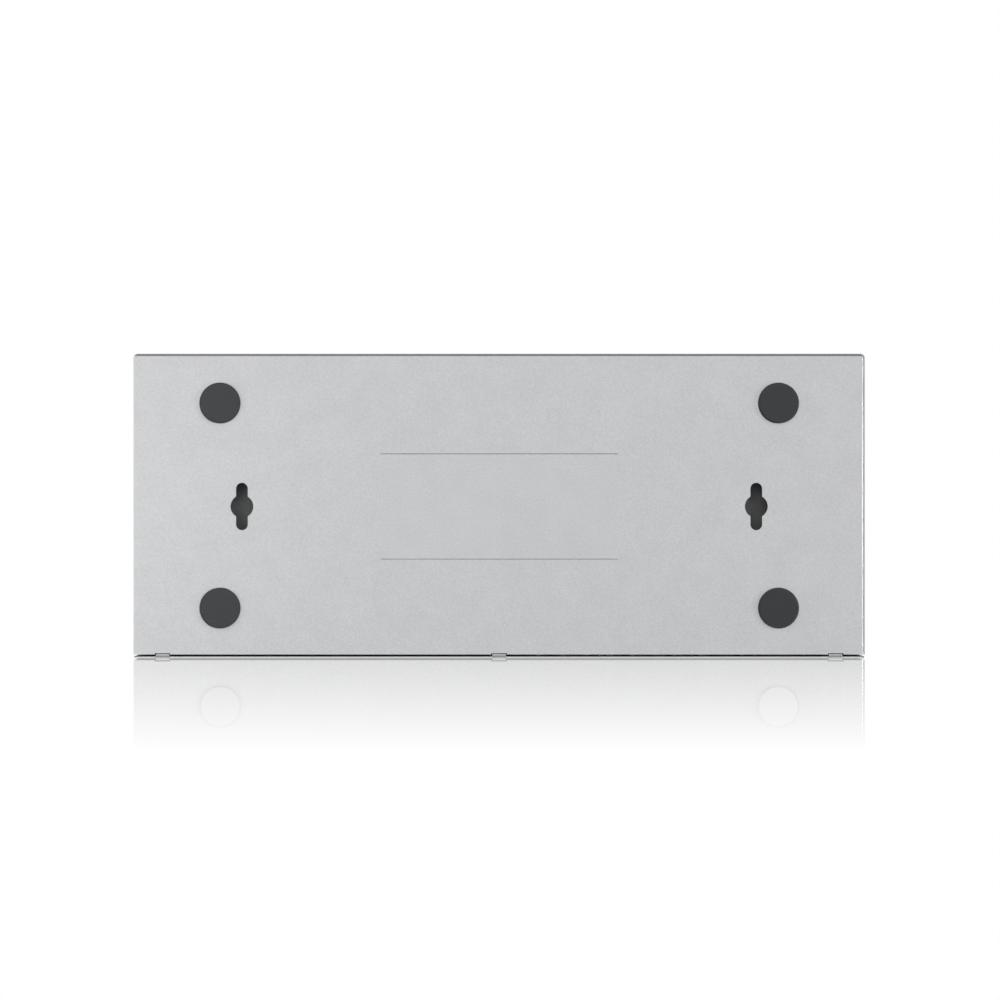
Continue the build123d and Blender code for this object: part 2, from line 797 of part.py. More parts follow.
with BuildPart() as status_lights:
    with BuildSketch(Plane.XY.offset(board_top_z)):
        with Locations(*[(x, light_y) for x in light_places]):
            Rectangle(light_length, light_width)
    extrude(amount=light_height)
status_lights.part.label = "status_lights"
export_step(status_lights.part, "parts/status_lights.step")

# Switch chip, its thermal pad and the finned heatsink, in front of the transformers
transformer_y = block_back_y - transformer_setback - transformer_width / 2
chip_y = transformer_y - (transformer_width + heatsink_size) / 2 - heatsink_gap
chip_top_z = board_top_z + chip_height
pad_top_z = chip_top_z + pad_thickness
with BuildPart() as switch_chip:
    with BuildSketch(Plane.XY.offset(board_top_z)):
        with Locations((chip_x, chip_y)):
            Rectangle(chip_size, chip_size)
    extrude(amount=chip_height)
    chamfer(switch_chip.edges().filter_by(Axis.Z), chip_corner_cut)
switch_chip.part.label = "switch_chip"
export_step(switch_chip.part, "parts/switch_chip.step")

with BuildPart() as thermal_pad:
    with BuildSketch(Plane.XY.offset(chip_top_z)):
        with Locations((chip_x, chip_y)):
            Rectangle(chip_size - 2 * chip_corner_cut, chip_size - 2 * chip_corner_cut)
    extrude(amount=pad_thickness)
thermal_pad.part.label = "thermal_pad"
export_step(thermal_pad.part, "parts/thermal_pad.step")

fin_pitch = (heatsink_size - fin_thickness) / (fin_count - 1)
with BuildPart() as heatsink:
    with BuildSketch(Plane.XY.offset(pad_top_z)):
        with Locations((chip_x, chip_y)):
            Rectangle(heatsink_size, heatsink_size)
    extrude(amount=heatsink_base)
    with BuildSketch(Plane.XY.offset(pad_top_z + heatsink_base)):
        with Locations((chip_x, chip_y)):
            with GridLocations(fin_pitch, 1, fin_count, 1):
                Rectangle(fin_thickness, heatsink_size)
    extrude(amount=heatsink_height - heatsink_base)
heatsink.part.label = "heatsink"
export_step(heatsink.part, "parts/heatsink.step")

# LAN transformers, one for each pair of ports, behind the socket blocks
transformer_places = [x + side * port_pitch for x in block_centres for side in (1, -1)]
for number, transformer_x in enumerate(transformer_places, start=1):
    with BuildPart() as lan_transformer:
        with BuildSketch(Plane.XY.offset(board_top_z)):
            with Locations((transformer_x, transformer_y)):
                Rectangle(transformer_length, transformer_width)
        extrude(amount=transformer_height)
        chamfer(lan_transformer.faces().sort_by(Axis.Z)[-1].edges(), transformer_chamfer)
    lan_transformer.part.label = f"lan_transformer_{number}"
    export_step(lan_transformer.part, f"parts/lan_transformer_{number}.step")

# Power parts behind the inlet
capacitor_places = [(inlet_x + step, rear_y - inset) for step, inset in capacitor_steps]
inductor_places = [(inlet_x + step, rear_y - inset) for step, inset in inductor_steps]
regulator_places = [(inlet_x + step, rear_y - inset) for step, inset in regulator_steps]
with BuildPart() as smoothing_capacitors:
    with BuildSketch(Plane.XY.offset(board_top_z)):
        with Locations(*capacitor_places):
            Circle(capacitor_diameter / 2)
    extrude(amount=capacitor_height)
smoothing_capacitors.part.label = "smoothing_capacitors"
export_step(smoothing_capacitors.part, "parts/smoothing_capacitors.step")

with BuildPart() as power_inductors:
    with BuildSketch(Plane.XY.offset(board_top_z)):
        with Locations(*inductor_places):
            Rectangle(inductor_size, inductor_size)
    extrude(amount=inductor_height)
    chamfer(power_inductors.edges().filter_by(Axis.Z), inductor_corner_cut)
power_inductors.part.label = "power_inductors"
export_step(power_inductors.part, "parts/power_inductors.step")

with BuildPart() as power_regulators:
    with BuildSketch(Plane.XY.offset(board_top_z)):
        with Locations(*regulator_places):
            Rectangle(regulator_length, regulator_width)
    extrude(amount=regulator_height)
power_regulators.part.label = "power_regulators"
export_step(power_regulators.part, "parts/power_regulators.step")

with BuildPart() as memory_chip:
    with BuildSketch(Plane.XY.offset(board_top_z)):
        with Locations((chip_x + memory_step[0], chip_y + memory_step[1])):
            Rectangle(regulator_length, regulator_width)
    extrude(amount=regulator_height)
memory_chip.part.label = "memory_chip"
export_step(memory_chip.part, "parts/memory_chip.step")

with BuildPart() as clock_crystal:
    with BuildSketch(Plane.XY.offset(board_top_z)):
        with Locations((chip_x + crystal_step[0], chip_y + crystal_step[1])):
            SlotOverall(crystal_length, crystal_width)
    extrude(amount=crystal_height)
clock_crystal.part.label = "clock_crystal"
export_step(clock_crystal.part, "parts/clock_crystal.step")

# Chip resistors and capacitors in rows beside the larger parts
field_places = [
    (half_width - right_field_step[0], rear_y - right_field_step[1]),
    (inlet_x + left_field_step[0], rear_y - left_field_step[1]),
]
with BuildPart() as small_board_parts:
    with BuildSketch(Plane.XY.offset(board_top_z)):
        with Locations(*field_places):
            with GridLocations(
                small_part_pitch,
                small_part_row_pitch,
                small_part_columns,
                small_part_rows,
            ):
                Rectangle(small_part_width, small_part_length)
        with Locations(*[(x, light_y + light_part_gap) for x in light_places]):
            Rectangle(small_part_width, small_part_length)
    extrude(amount=small_part_height)
small_board_parts.part.label = "small_board_parts"
export_step(small_board_parts.part, "parts/small_board_parts.step")
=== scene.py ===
import math

import bpy
from mathutils import Matrix, Vector


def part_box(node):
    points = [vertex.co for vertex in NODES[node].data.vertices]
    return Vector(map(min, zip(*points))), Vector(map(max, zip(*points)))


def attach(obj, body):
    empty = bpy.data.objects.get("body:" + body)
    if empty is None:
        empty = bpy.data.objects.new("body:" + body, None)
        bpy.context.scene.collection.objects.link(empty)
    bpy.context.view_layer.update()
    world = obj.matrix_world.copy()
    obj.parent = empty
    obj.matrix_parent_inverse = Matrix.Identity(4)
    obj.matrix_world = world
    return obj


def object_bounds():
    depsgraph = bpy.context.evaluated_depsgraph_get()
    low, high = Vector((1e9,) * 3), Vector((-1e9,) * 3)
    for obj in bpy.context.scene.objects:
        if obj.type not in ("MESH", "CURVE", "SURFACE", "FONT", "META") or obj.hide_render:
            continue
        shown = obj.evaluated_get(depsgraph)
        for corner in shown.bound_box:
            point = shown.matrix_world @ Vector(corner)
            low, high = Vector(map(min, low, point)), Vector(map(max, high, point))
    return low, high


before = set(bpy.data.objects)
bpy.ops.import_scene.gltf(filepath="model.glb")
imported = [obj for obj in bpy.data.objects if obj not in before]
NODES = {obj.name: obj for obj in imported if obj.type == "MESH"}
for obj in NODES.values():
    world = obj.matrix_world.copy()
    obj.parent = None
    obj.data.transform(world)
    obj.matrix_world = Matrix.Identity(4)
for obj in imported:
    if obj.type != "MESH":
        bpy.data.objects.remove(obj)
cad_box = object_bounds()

# Looks of a silver desktop ethernet switch, seen straight from below as it stands on its front edge.
# Metres, in the same frame as the solids: +Z up, -Y the front with the lights, +Y the rear with the sockets.

MM = 0.001

# The photograph: 1000 pixels wide, the case 731.9 of them, its centre at this pixel
PHOTO_PIXELS = 1000
CASE_WIDTH_PIXELS = 731.9
CASE_CENTRE_PIXEL = (499.1, 505.75)
CAMERA_LENS = 150.0
CAMERA_SENSOR = 36.0
CAMERA_CLIP_END = 20.0

CASE_WIDTH = cad_box[1].x - cad_box[0].x
CASE_FRONT = cad_box[0].y
CASE_REAR = cad_box[1].y
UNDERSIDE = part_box("bottom_tray")[0].z
METRES_PER_PIXEL = CASE_WIDTH / CASE_WIDTH_PIXELS


# Node helpers

# Most of a noise texture's values lie between these
NOISE_LOW = 0.3
NOISE_HIGH = 0.7


def new_material(name, settings):
    """A material whose Principled shader has these constants on its own sockets."""
    material = bpy.data.materials.new(name)
    material.use_nodes = True
    shader = material.node_tree.nodes["Principled BSDF"]
    for socket, value in settings.items():
        shader.inputs[socket].default_value = value
    return material, material.node_tree, shader


def place_of(tree):
    """The point on the surface, in metres in the object's frame."""
    return tree.nodes.new("ShaderNodeTexCoord").outputs["Object"]


def noise(tree, feature, detail=2.0, stretch=(1.0, 1.0, 1.0)):
    """Noise with lumps about this many metres across, longer along a stretched axis."""
    mapping = tree.nodes.new("ShaderNodeMapping")
    mapping.inputs["Scale"].default_value = [1 / (feature * share) for share in stretch]
    texture = tree.nodes.new("ShaderNodeTexNoise")
    texture.inputs["Scale"].default_value = 1.0
    texture.inputs["Detail"].default_value = detail
    tree.links.new(place_of(tree), mapping.inputs["Vector"])
    tree.links.new(mapping.outputs["Vector"], texture.inputs["Vector"])
    return texture.outputs["Fac"]


def tones(tree, factor, dark, light, start=NOISE_LOW, end=NOISE_HIGH):
    """A ramp from one linear colour to the other, over the factor from start to end."""
    ramp = tree.nodes.new("ShaderNodeValToRGB")
    for element, position, colour in zip(ramp.color_ramp.elements, (start, end), (dark, light)):
        element.position = position
        element.color = (*colour, 1.0)
    tree.links.new(factor, ramp.inputs["Fac"])
    return ramp.outputs["Color"]


def spread(tree, factor, low, high, start=NOISE_LOW, end=NOISE_HIGH):
    """The factor from start to end mapped on low to high."""
    node = tree.nodes.new("ShaderNodeMapRange")
    for socket, value in (("From Min", start), ("From Max", end), ("To Min", low), ("To Max", high)):
        node.inputs[socket].default_value = value
    tree.links.new(factor, node.inputs["Value"])
    return node.outputs["Result"]


def calculate(tree, operation, *values):
    """One Math node over sockets or numbers."""
    node = tree.nodes.new("ShaderNodeMath")
    node.operation = operation
    for socket, value in zip(node.inputs, values):
        if isinstance(value, (int, float)):
            socket.default_value = value
        else:
            tree.links.new(value, socket)
    return node.outputs["Value"]


def blended(tree, factor, first, second):
    """The first colour where the factor is 0 and the second where it is 1."""
    node = tree.nodes.new("ShaderNodeMix")
    node.data_type = "RGBA"
    tree.links.new(factor, node.inputs["Factor"])
    for socket, value in ((node.inputs[6], first), (node.inputs[7], second)):
        if isinstance(value, tuple):
            socket.default_value = (*value, 1.0)
        else:
            tree.links.new(value, socket)
    return node.outputs[2]


def raised(tree, height, depth, under=None):
    """A bump of this many metres over the height, on top of another bump if one is given."""
    node = tree.nodes.new("ShaderNodeBump")
    node.inputs["Distance"].default_value = depth
    tree.links.new(height, node.inputs["Height"])
    if under is not None:
        tree.links.new(under, node.inputs["Normal"])
    return node.outputs["Normal"]


def coordinate(tree, axis):
    """One coordinate of the point on the surface."""
    node = tree.nodes.new("ShaderNodeSeparateXYZ")
    tree.links.new(place_of(tree), node.inputs["Vector"])
    return node.outputs[axis]


def paint(piece, material):
    """Puts the material on a piece or a node."""
    if piece.material_slots:
        for holder in piece.material_slots:
            holder.material = material
    else:
        piece.data.materials.append(material)


# Case paint. Heights are above the underside, and the other lengths are inward from the case's outside.

FEET = ("foot_front_left", "foot_front_right", "foot_rear_left", "foot_rear_right")

SILVER_DARK = (0.6, 0.605, 0.615)
SILVER_LIGHT = (0.692, 0.697, 0.707)
CLOUD_DARK = (0.97, 0.97, 0.97)
CLOUD_LIGHT = (1.0, 1.0, 1.0)
CLOUD_START = 0.35
CLOUD_END = 0.65
WELD_GREY = (0.45, 0.455, 0.465)
# Painted shade on the rear and side rims
REAR_RIM_SHADE = (0.42, 0.425, 0.435)
SIDE_RIM_SHADE = (0.3, 0.303, 0.31)
# Painted light under the feet
SEAT_LIGHT = (0.97, 0.97, 0.97)
# Painted shadow at the seam and on the hook tabs
PAINTED_SHADOW_DARK = (0.03, 0.03, 0.032)

GRAIN_SIZE = 0.55 * MM
GRAIN_RELIEF = 0.02 * MM
FLAKE_SIZE = 0.32 * MM
FLAKE_RELIEF = 0.006 * MM
CLOUD_SIZE = 9 * MM

POST_MARK_RADIUS = 2.2 * MM
POST_MARK_EDGE = 0.35 * MM
POST_MARK_SHARE = 0.16
POST_MARK_RELIEF = 0.01 * MM
POST_END_DEPTH = 0.1 * MM
POST_REACH = 8 * MM

FLANGE_INNER = 0.65 * MM
# Painted shadow of the seam gap on the inner side of the flange's lower edge
EDGE_SHADE_START = 0.42 * MM
EDGE_SHADE_FULL = 0.49 * MM
EDGE_SHADE_HEIGHT = 0.75 * MM

# Painted shade on the hook tabs
TAB_BEND_SHADE = 0.7
TAB_BEND_END = 1.05 * MM
TAB_LINE_START = 1.27 * MM
TAB_LINE_END = 1.8 * MM
TAB_LOW = 0.84 * MM
TAB_HIGH = 1.1 * MM

# Painted shade on the rims at the foot of the walls
RIM_WIDTH = 0.68 * MM
RIM_HEIGHT = 0.75 * MM
RIM_FADE_END = 1.1 * MM

# Painted light under the feet stops this far inside each foot's edge
SEAT_PAINT_WIDTH = 0.3 * MM


def post_centres():
    """The centre of each post's welded end, from the corners that it stands on."""
    corners = [corner.co for corner in NODES["board_posts"].data.vertices]
    low = min(corner.z for corner in corners)
    ends = []
    for corner in corners:
        if corner.z > low + POST_END_DEPTH:
            continue
        for end in ends:
            if (end[0] - corner).length < POST_REACH:
                end.append(corner)
                break
        else:
            ends.append([corner])
    return [sum(end, Vector()) / len(end) for end in ends]


def post_marks(tree):
    """The faint rings that the posts' welds leave in the paint below: 1 on a ring and 0 off it."""
    place = place_of(tree)
    nearest = 1.0
    for centre in post_centres():
        away = tree.nodes.new("ShaderNodeVectorMath")
        away.operation = "DISTANCE"
        away.inputs[1].default_value = (centre.x, centre.y, UNDERSIDE)
        tree.links.new(place, away.inputs[0])
        nearest = calculate(tree, "MINIMUM", away.outputs["Value"], nearest)
    off_ring = calculate(tree, "ABSOLUTE", calculate(tree, "SUBTRACT", nearest, POST_MARK_RADIUS))
    return spread(tree, off_ring, 1.0, 0.0, 0.0, POST_MARK_EDGE)


def inward_and_height(tree):
    """How far the point lies behind the front, and above the underside."""
    inward = calculate(tree, "SUBTRACT", coordinate(tree, "Y"), CASE_FRONT)
    return inward, calculate(tree, "SUBTRACT", coordinate(tree, "Z"), UNDERSIDE)


def bare_edge(tree):
    """Painted shadow of the seam gap on the inner side of the flange's lower edge: 1 there and 0 elsewhere."""
    inward, height = inward_and_height(tree)
    reached = spread(tree, inward, 0.0, 1.0, EDGE_SHADE_START, EDGE_SHADE_FULL)
    in_sheet = calculate(tree, "LESS_THAN", inward, FLANGE_INNER)
    low = calculate(tree, "LESS_THAN", height, EDGE_SHADE_HEIGHT)
    return calculate(tree, "MULTIPLY", calculate(tree, "MULTIPLY", reached, in_sheet), low)


def tab_shade(tree):
    """Painted shade on the hook tabs: at the bend, and a painted shadow line where the tray's edge lies over
    them.
    """
    inward, height = inward_and_height(tree)
    bend = spread(tree, inward, TAB_BEND_SHADE, 0.0, FLANGE_INNER, TAB_BEND_END)
    painted_shadow = calculate(tree, "GREATER_THAN", inward, TAB_LINE_START)
    shade = calculate(tree, "MAXIMUM", bend, painted_shadow)
    near = calculate(tree, "LESS_THAN", inward, TAB_LINE_END)
    behind = calculate(tree, "GREATER_THAN", inward, FLANGE_INNER)
    over_tray = calculate(tree, "GREATER_THAN", height, TAB_LOW)
    low = calculate(tree, "LESS_THAN", height, TAB_HIGH)
    for limit in (near, behind, over_tray, low):
        shade = calculate(tree, "MULTIPLY", shade, limit)
    return shade


def thin_rim(tree, inward):
    """Painted shade on the bend at the foot of a wall: 1 there and 0 elsewhere."""
    height = calculate(tree, "SUBTRACT", coordinate(tree, "Z"), UNDERSIDE)
    low = spread(tree, height, 1.0, 0.0, RIM_HEIGHT, RIM_FADE_END)
    return calculate(tree, "MULTIPLY", calculate(tree, "LESS_THAN", inward, RIM_WIDTH), low)


def bare_seats(tree):
    """Painted light under the feet, a bright patch that only the mirror shows: 1 there and 0 elsewhere."""
    place = place_of(tree)
    seat_lit = 0.0
    for name in FEET:
        low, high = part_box(name)
        away = tree.nodes.new("ShaderNodeVectorMath")
        away.operation = "DISTANCE"
        away.inputs[1].default_value = ((low.x + high.x) / 2, (low.y + high.y) / 2, high.z)
        tree.links.new(place, away.inputs[0])
        radius = (high.x - low.x) / 2 - SEAT_PAINT_WIDTH
        inside = calculate(tree, "LESS_THAN", away.outputs["Value"], radius)
        seat_lit = calculate(tree, "MAXIMUM", inside, seat_lit)
    return seat_lit


def silver(tree, grain):
    """The silver of the paint: fine grain with faint mottling over it."""
    base = tones(tree, grain, SILVER_DARK, SILVER_LIGHT)
    cloudy = tones(tree, noise(tree, CLOUD_SIZE), CLOUD_DARK, CLOUD_LIGHT, CLOUD_START, CLOUD_END)
    tint = tree.nodes.new("ShaderNodeMix")
    tint.data_type = "RGBA"
    tint.blend_type = "MULTIPLY"
    tint.inputs["Factor"].default_value = 1.0
    tree.links.new(base, tint.inputs[6])
    tree.links.new(cloudy, tint.inputs[7])
    return tint.outputs[2]


def worn(tree, colour, marks):
    """The paint with the weld marks in it, painted shade on the wall rims, at the seam and on the hook tabs,
    and painted light under the feet.
    """
    from_side = calculate(tree, "ADD", coordinate(tree, "X"), CASE_WIDTH / 2)
    from_rear = calculate(tree, "SUBTRACT", CASE_REAR, coordinate(tree, "Y"))
    share = calculate(tree, "MULTIPLY", marks, POST_MARK_SHARE)
    welded = blended(tree, share, colour, WELD_GREY)
    # Painted shade on the rear and side rims
    rimmed = blended(tree, thin_rim(tree, from_rear), welded, REAR_RIM_SHADE)
    rimmed = blended(tree, thin_rim(tree, from_side), rimmed, SIDE_RIM_SHADE)
    # Painted light under the feet
    seated = blended(tree, bare_seats(tree), rimmed, SEAT_LIGHT)
    # Painted shadow at the seam and on the hook tabs
    painted_shadow = calculate(tree, "MAXIMUM", bare_edge(tree), tab_shade(tree))
    return blended(tree, painted_shadow, seated, PAINTED_SHADOW_DARK)


def case_paint():
    """Silver powder paint: fine grain, faint mottling, weld marks, painted shade at the rims, seam and tabs,
    painted light under the feet, and a soft metallic lobe.
    """
    material, tree, shader = new_material("case_paint", {"Metallic": 0.6, "Roughness": 0.28})
    grain = noise(tree, GRAIN_SIZE, 3.0)
    flake = noise(tree, FLAKE_SIZE, 1.0)
    marks = post_marks(tree)
    tree.links.new(worn(tree, silver(tree, grain), marks), shader.inputs["Base Color"])
    skin = raised(tree, flake, FLAKE_RELIEF, raised(tree, grain, GRAIN_RELIEF))
    tree.links.new(raised(tree, marks, POST_MARK_RELIEF, skin), shader.inputs["Normal"])
    return material


# Other materials

RUBBER_DARK = (0.058, 0.06, 0.063)
RUBBER_LIGHT = (0.073, 0.075, 0.079)
RUBBER_SKIN_SIZE = 0.5 * MM
RUBBER_RELIEF = 0.015 * MM


def foot_rubber():
    """Matt dark grey rubber with a fine moulded skin."""
    material, tree, shader = new_material("foot_rubber", {"Roughness": 0.78, "Specular IOR Level": 0.3})
    skin = noise(tree, RUBBER_SKIN_SIZE)
    tree.links.new(tones(tree, skin, RUBBER_DARK, RUBBER_LIGHT), shader.inputs["Base Color"])
    tree.links.new(raised(tree, skin, RUBBER_RELIEF), shader.inputs["Normal"])
    return material


METAL_MARK_TONE = 0.86
METAL_SMOOTHER = 0.06
METAL_ROUGHER = 0.08
METAL_RELIEF = 0.004 * MM


def bright_metal(name, colour, roughness, feature, stretch):
    """Plated or rolled metal with fine marks along one axis."""
    material, tree, shader = new_material(name, {"Metallic": 1.0})
    marks = noise(tree, feature, 3.0, stretch)
    darker = tuple(METAL_MARK_TONE * part for part in colour)
    sheen = spread(tree, marks, roughness - METAL_SMOOTHER, roughness + METAL_ROUGHER)
    tree.links.new(tones(tree, marks, darker, colour), shader.inputs["Base Color"])
    tree.links.new(sheen, shader.inputs["Roughness"])
    tree.links.new(raised(tree, marks, METAL_RELIEF), shader.inputs["Normal"])
    return material


PLASTIC_SHEEN_CHANGE = 0.05
PLASTIC_RELIEF = 0.01 * MM


def moulded_plastic(name, dark, light, roughness, feature):
    """Moulded plastic with a fine texture and slight colour change."""
    material, tree, shader = new_material(name, {})
    skin = noise(tree, feature)
    sheen = spread(tree, skin, roughness - PLASTIC_SHEEN_CHANGE, roughness + PLASTIC_SHEEN_CHANGE)
    tree.links.new(tones(tree, skin, dark, light), shader.inputs["Base Color"])
    tree.links.new(sheen, shader.inputs["Roughness"])
    tree.links.new(raised(tree, skin, PLASTIC_RELIEF), shader.inputs["Normal"])
    return material


FILM_DARK = (0.15, 0.152, 0.156)
FILM_LIGHT = (0.172, 0.174, 0.178)
FILM_SPECK_SIZE = 0.6 * MM
FILM_WAVE_SIZE = 14 * MM
FILM_RELIEF = 0.3 * MM


def film_plastic():
    """Dark insulating film, satin and a little wavy."""
    material, tree, shader = new_material("film", {"Roughness": 0.5, "Specular IOR Level": 0.3})
    wave = noise(tree, FILM_WAVE_SIZE, 1.0)
    speck = noise(tree, FILM_SPECK_SIZE)
    tree.links.new(tones(tree, speck, FILM_DARK, FILM_LIGHT), shader.inputs["Base Color"])
    tree.links.new(raised(tree, wave, FILM_RELIEF), shader.inputs["Normal"])
    return material


MASK_DARK = (0.008, 0.085, 0.035)
MASK_LIGHT = (0.014, 0.125, 0.052)
COPPER_UNDER_MASK = (0.03, 0.2, 0.08)
WEAVE_SIZE = 1.2 * MM
TRACK_PITCH = 6 * MM
TRACK_SHARE = 0.08
TRACK_RELIEF = 0.03 * MM


def board_laminate():
    """Green solder mask over copper tracks and fields."""
    material, tree, shader = new_material("board_laminate", {"Roughness": 0.32})
    tracks = tree.nodes.new("ShaderNodeTexBrick")
    tracks.inputs["Scale"].default_value = 1 / TRACK_PITCH
    tracks.inputs["Mortar Size"].default_value = TRACK_SHARE
    tree.links.new(place_of(tree), tracks.inputs["Vector"])
    mask = tones(tree, noise(tree, WEAVE_SIZE), MASK_DARK, MASK_LIGHT)
    colour = blended(tree, tracks.outputs["Fac"], mask, COPPER_UNDER_MASK)
    tree.links.new(colour, shader.inputs["Base Color"])
    tree.links.new(raised(tree, tracks.outputs["Fac"], TRACK_RELIEF), shader.inputs["Normal"])
    return material


GUIDE_CLEAR = (0.9, 0.93, 0.93, 1.0)
GUIDE_SMOOTH = 0.3
GUIDE_FROSTED = 0.45
FROST_SIZE = 0.4 * MM
FROST_RELIEF = 0.01 * MM


def clear_guide():
    """Frosted clear moulding of the light guide."""
    material, tree, shader = new_material(
        "guide_clear", {"Transmission Weight": 0.55, "IOR": 1.49, "Base Color": GUIDE_CLEAR}
    )
    frost = noise(tree, FROST_SIZE)
    tree.links.new(spread(tree, frost, GUIDE_SMOOTH, GUIDE_FROSTED), shader.inputs["Roughness"])
    tree.links.new(raised(tree, frost, FROST_RELIEF), shader.inputs["Normal"])
    return material


def printing_ink():
    """Dark grey printed ink, slightly uneven."""
    return moulded_plastic("printing_ink", (0.035, 0.036, 0.04), (0.055, 0.056, 0.06), 0.5, 0.4 * MM)


def dress_nodes():
    """Gives each solid the material of its slot."""
    groups = {
        "case_paint": (case_paint(), ["bottom_tray", "top_cover"]),
        "post_steel": (
            bright_metal("post_steel", (0.66, 0.66, 0.65), 0.38, 0.5 * MM, (1, 1, 4)),
            ["board_posts"],
        ),
        "screw_steel": (
            bright_metal("screw_steel", (0.72, 0.72, 0.71), 0.3, 0.5 * MM, (1, 1, 1)),
            ["cover_screws", "board_screws"],
        ),
        "film": (film_plastic(), ["insulating_film"]),
        "board_laminate": (board_laminate(), ["main_board"]),
        "shield_tin": (
            bright_metal("shield_tin", (0.78, 0.77, 0.74), 0.27, 0.8 * MM, (8, 1, 1)),
            ["jack_shield_1_4", "jack_shield_5_8"],
        ),
        "insert_black": (
            moulded_plastic("insert_black", (0.012, 0.012, 0.013), (0.022, 0.022, 0.023), 0.42, 0.5 * MM),
            ["jack_housing_1_4", "jack_housing_5_8", "dc_jack_housing"],
        ),
        "contact_gold": (
            bright_metal("contact_gold", (0.95, 0.68, 0.3), 0.22, 0.4 * MM, (1, 6, 1)),
            ["jack_contacts_1_4", "jack_contacts_5_8"],
        ),
        "inlet_metal": (
            bright_metal("inlet_metal", (0.76, 0.75, 0.72), 0.25, 0.4 * MM, (1, 5, 1)),
            ["dc_jack_pin", "dc_jack_spring"],
        ),
        "guide_clear": (clear_guide(), ["light_guide"]),
        "light_lens": (
            moulded_plastic("light_lens", (0.62, 0.66, 0.6), (0.72, 0.76, 0.7), 0.3, 0.3 * MM),
            ["status_lights"],
        ),
        "package_black": (
            moulded_plastic("package_black", (0.02, 0.02, 0.021), (0.034, 0.034, 0.036), 0.6, 0.3 * MM),
            ["switch_chip", "lan_transformer_1", "lan_transformer_2", "lan_transformer_3",
             "lan_transformer_4", "power_regulators", "memory_chip"],
        ),
        "pad_grey": (
            moulded_plastic("pad_grey", (0.36, 0.38, 0.42), (0.42, 0.44, 0.48), 0.7, 0.4 * MM),
            ["thermal_pad"],
        ),
        "heatsink_aluminium": (
            bright_metal("heatsink_aluminium", (0.6, 0.61, 0.62), 0.42, 0.6 * MM, (1, 10, 1)),
            ["heatsink"],
        ),
        "can_aluminium": (
            bright_metal("can_aluminium", (0.74, 0.75, 0.76), 0.33, 0.5 * MM, (1, 1, 8)),
            ["smoothing_capacitors", "clock_crystal"],
        ),
        "ferrite": (
            moulded_plastic("ferrite", (0.06, 0.058, 0.057), (0.1, 0.097, 0.095), 0.65, 0.4 * MM),
            ["power_inductors"],
        ),
        "ceramic": (
            moulded_plastic("ceramic", (0.2, 0.15, 0.1), (0.3, 0.23, 0.16), 0.55, 0.5 * MM),
            ["small_board_parts"],
        ),
        "foot_rubber": (
            foot_rubber(),
            FEET,
        ),
    }
    for slot, (material, names) in groups.items():
        for name in names:
            paint(NODES[name], material)
    # The photograph's mirror shows the feet as no more than faint rings
    for name in FEET:
        NODES[name].visible_glossy = False


# Printed numbers

PRINT_THICKNESS = 0.015 * MM


def printed_number(text, height, place, right, up):
    """One printed figure: its centre, and the directions that it reads and stands in."""
    curve = bpy.data.curves.new("figure", "FONT")
    curve.body = text
    curve.size = height
    curve.align_x = "CENTER"
    curve.align_y = "CENTER"
    curve.extrude = PRINT_THICKNESS
    shape = bpy.data.objects.new("figure", curve)
    bpy.context.scene.collection.objects.link(shape)
    bpy.context.view_layer.update()
    mesh = bpy.data.meshes.new_from_object(shape.evaluated_get(bpy.context.evaluated_depsgraph_get()))
    bpy.data.objects.remove(shape)
    bpy.data.curves.remove(curve)
    out = Vector(right).cross(Vector(up))
    turn = Matrix((right, up, out)).transposed().to_4x4()
    mesh.transform(Matrix.Translation(place) @ turn)
    return mesh


def number_row(name, figures, material):
    """Joins printed figures into one piece."""
    mesh = bpy.data.meshes.new(name)
    points = []
    faces = []
    for figure in figures:
        start = len(points)
        points += [corner.co.copy() for corner in figure.vertices]
        faces += [[start + index for index in face.vertices] for face in figure.polygons]
        bpy.data.meshes.remove(figure)
    mesh.from_pydata(points, [], faces)
    mesh.update()
    piece = bpy.data.objects.new(name, mesh)
    bpy.context.scene.collection.objects.link(piece)
    paint(piece, material)
    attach(piece, "root")
    return piece


PORT_PITCH = 14 * MM
PORTS_PER_BLOCK = 4
REAR_FIGURE_HEIGHT = 3.2 * MM
REAR_FIGURE_Z = 7.2 * MM
LIGHT_PITCH = 8 * MM
LIGHT_FIRST_X = -70 * MM
LIGHT_COUNT = 8
FRONT_FIGURE_HEIGHT = 2.9 * MM
FRONT_FIGURE_Z = 12.4 * MM


def port_numbers(material):
    """Port numbers on the rear wall, under the sockets."""
    figures = []
    number = 1
    for block in ("jack_shield_1_4", "jack_shield_5_8"):
        low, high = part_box(block)
        centre = (low.x + high.x) / 2
        for step in range(PORTS_PER_BLOCK):
            port_x = centre + ((PORTS_PER_BLOCK - 1) / 2 - step) * PORT_PITCH
            place = Vector((port_x, CASE_REAR, REAR_FIGURE_Z))
            figures.append(printed_number(str(number), REAR_FIGURE_HEIGHT, place, (-1, 0, 0), (0, 0, 1)))
            number += 1
    return number_row("port_numbers", figures, material)


def light_numbers(material):
    """Numbers on the front, under the indicator lights."""
    figures = []
    for step in range(LIGHT_COUNT):
        place = Vector((LIGHT_FIRST_X + step * LIGHT_PITCH, CASE_FRONT, FRONT_FIGURE_Z))
        figures.append(printed_number(str(step + 1), FRONT_FIGURE_HEIGHT, place, (1, 0, 0), (0, 0, 1)))
    return number_row("light_numbers", figures, material)


# Stage: camera, floor, mirror, world and lamps

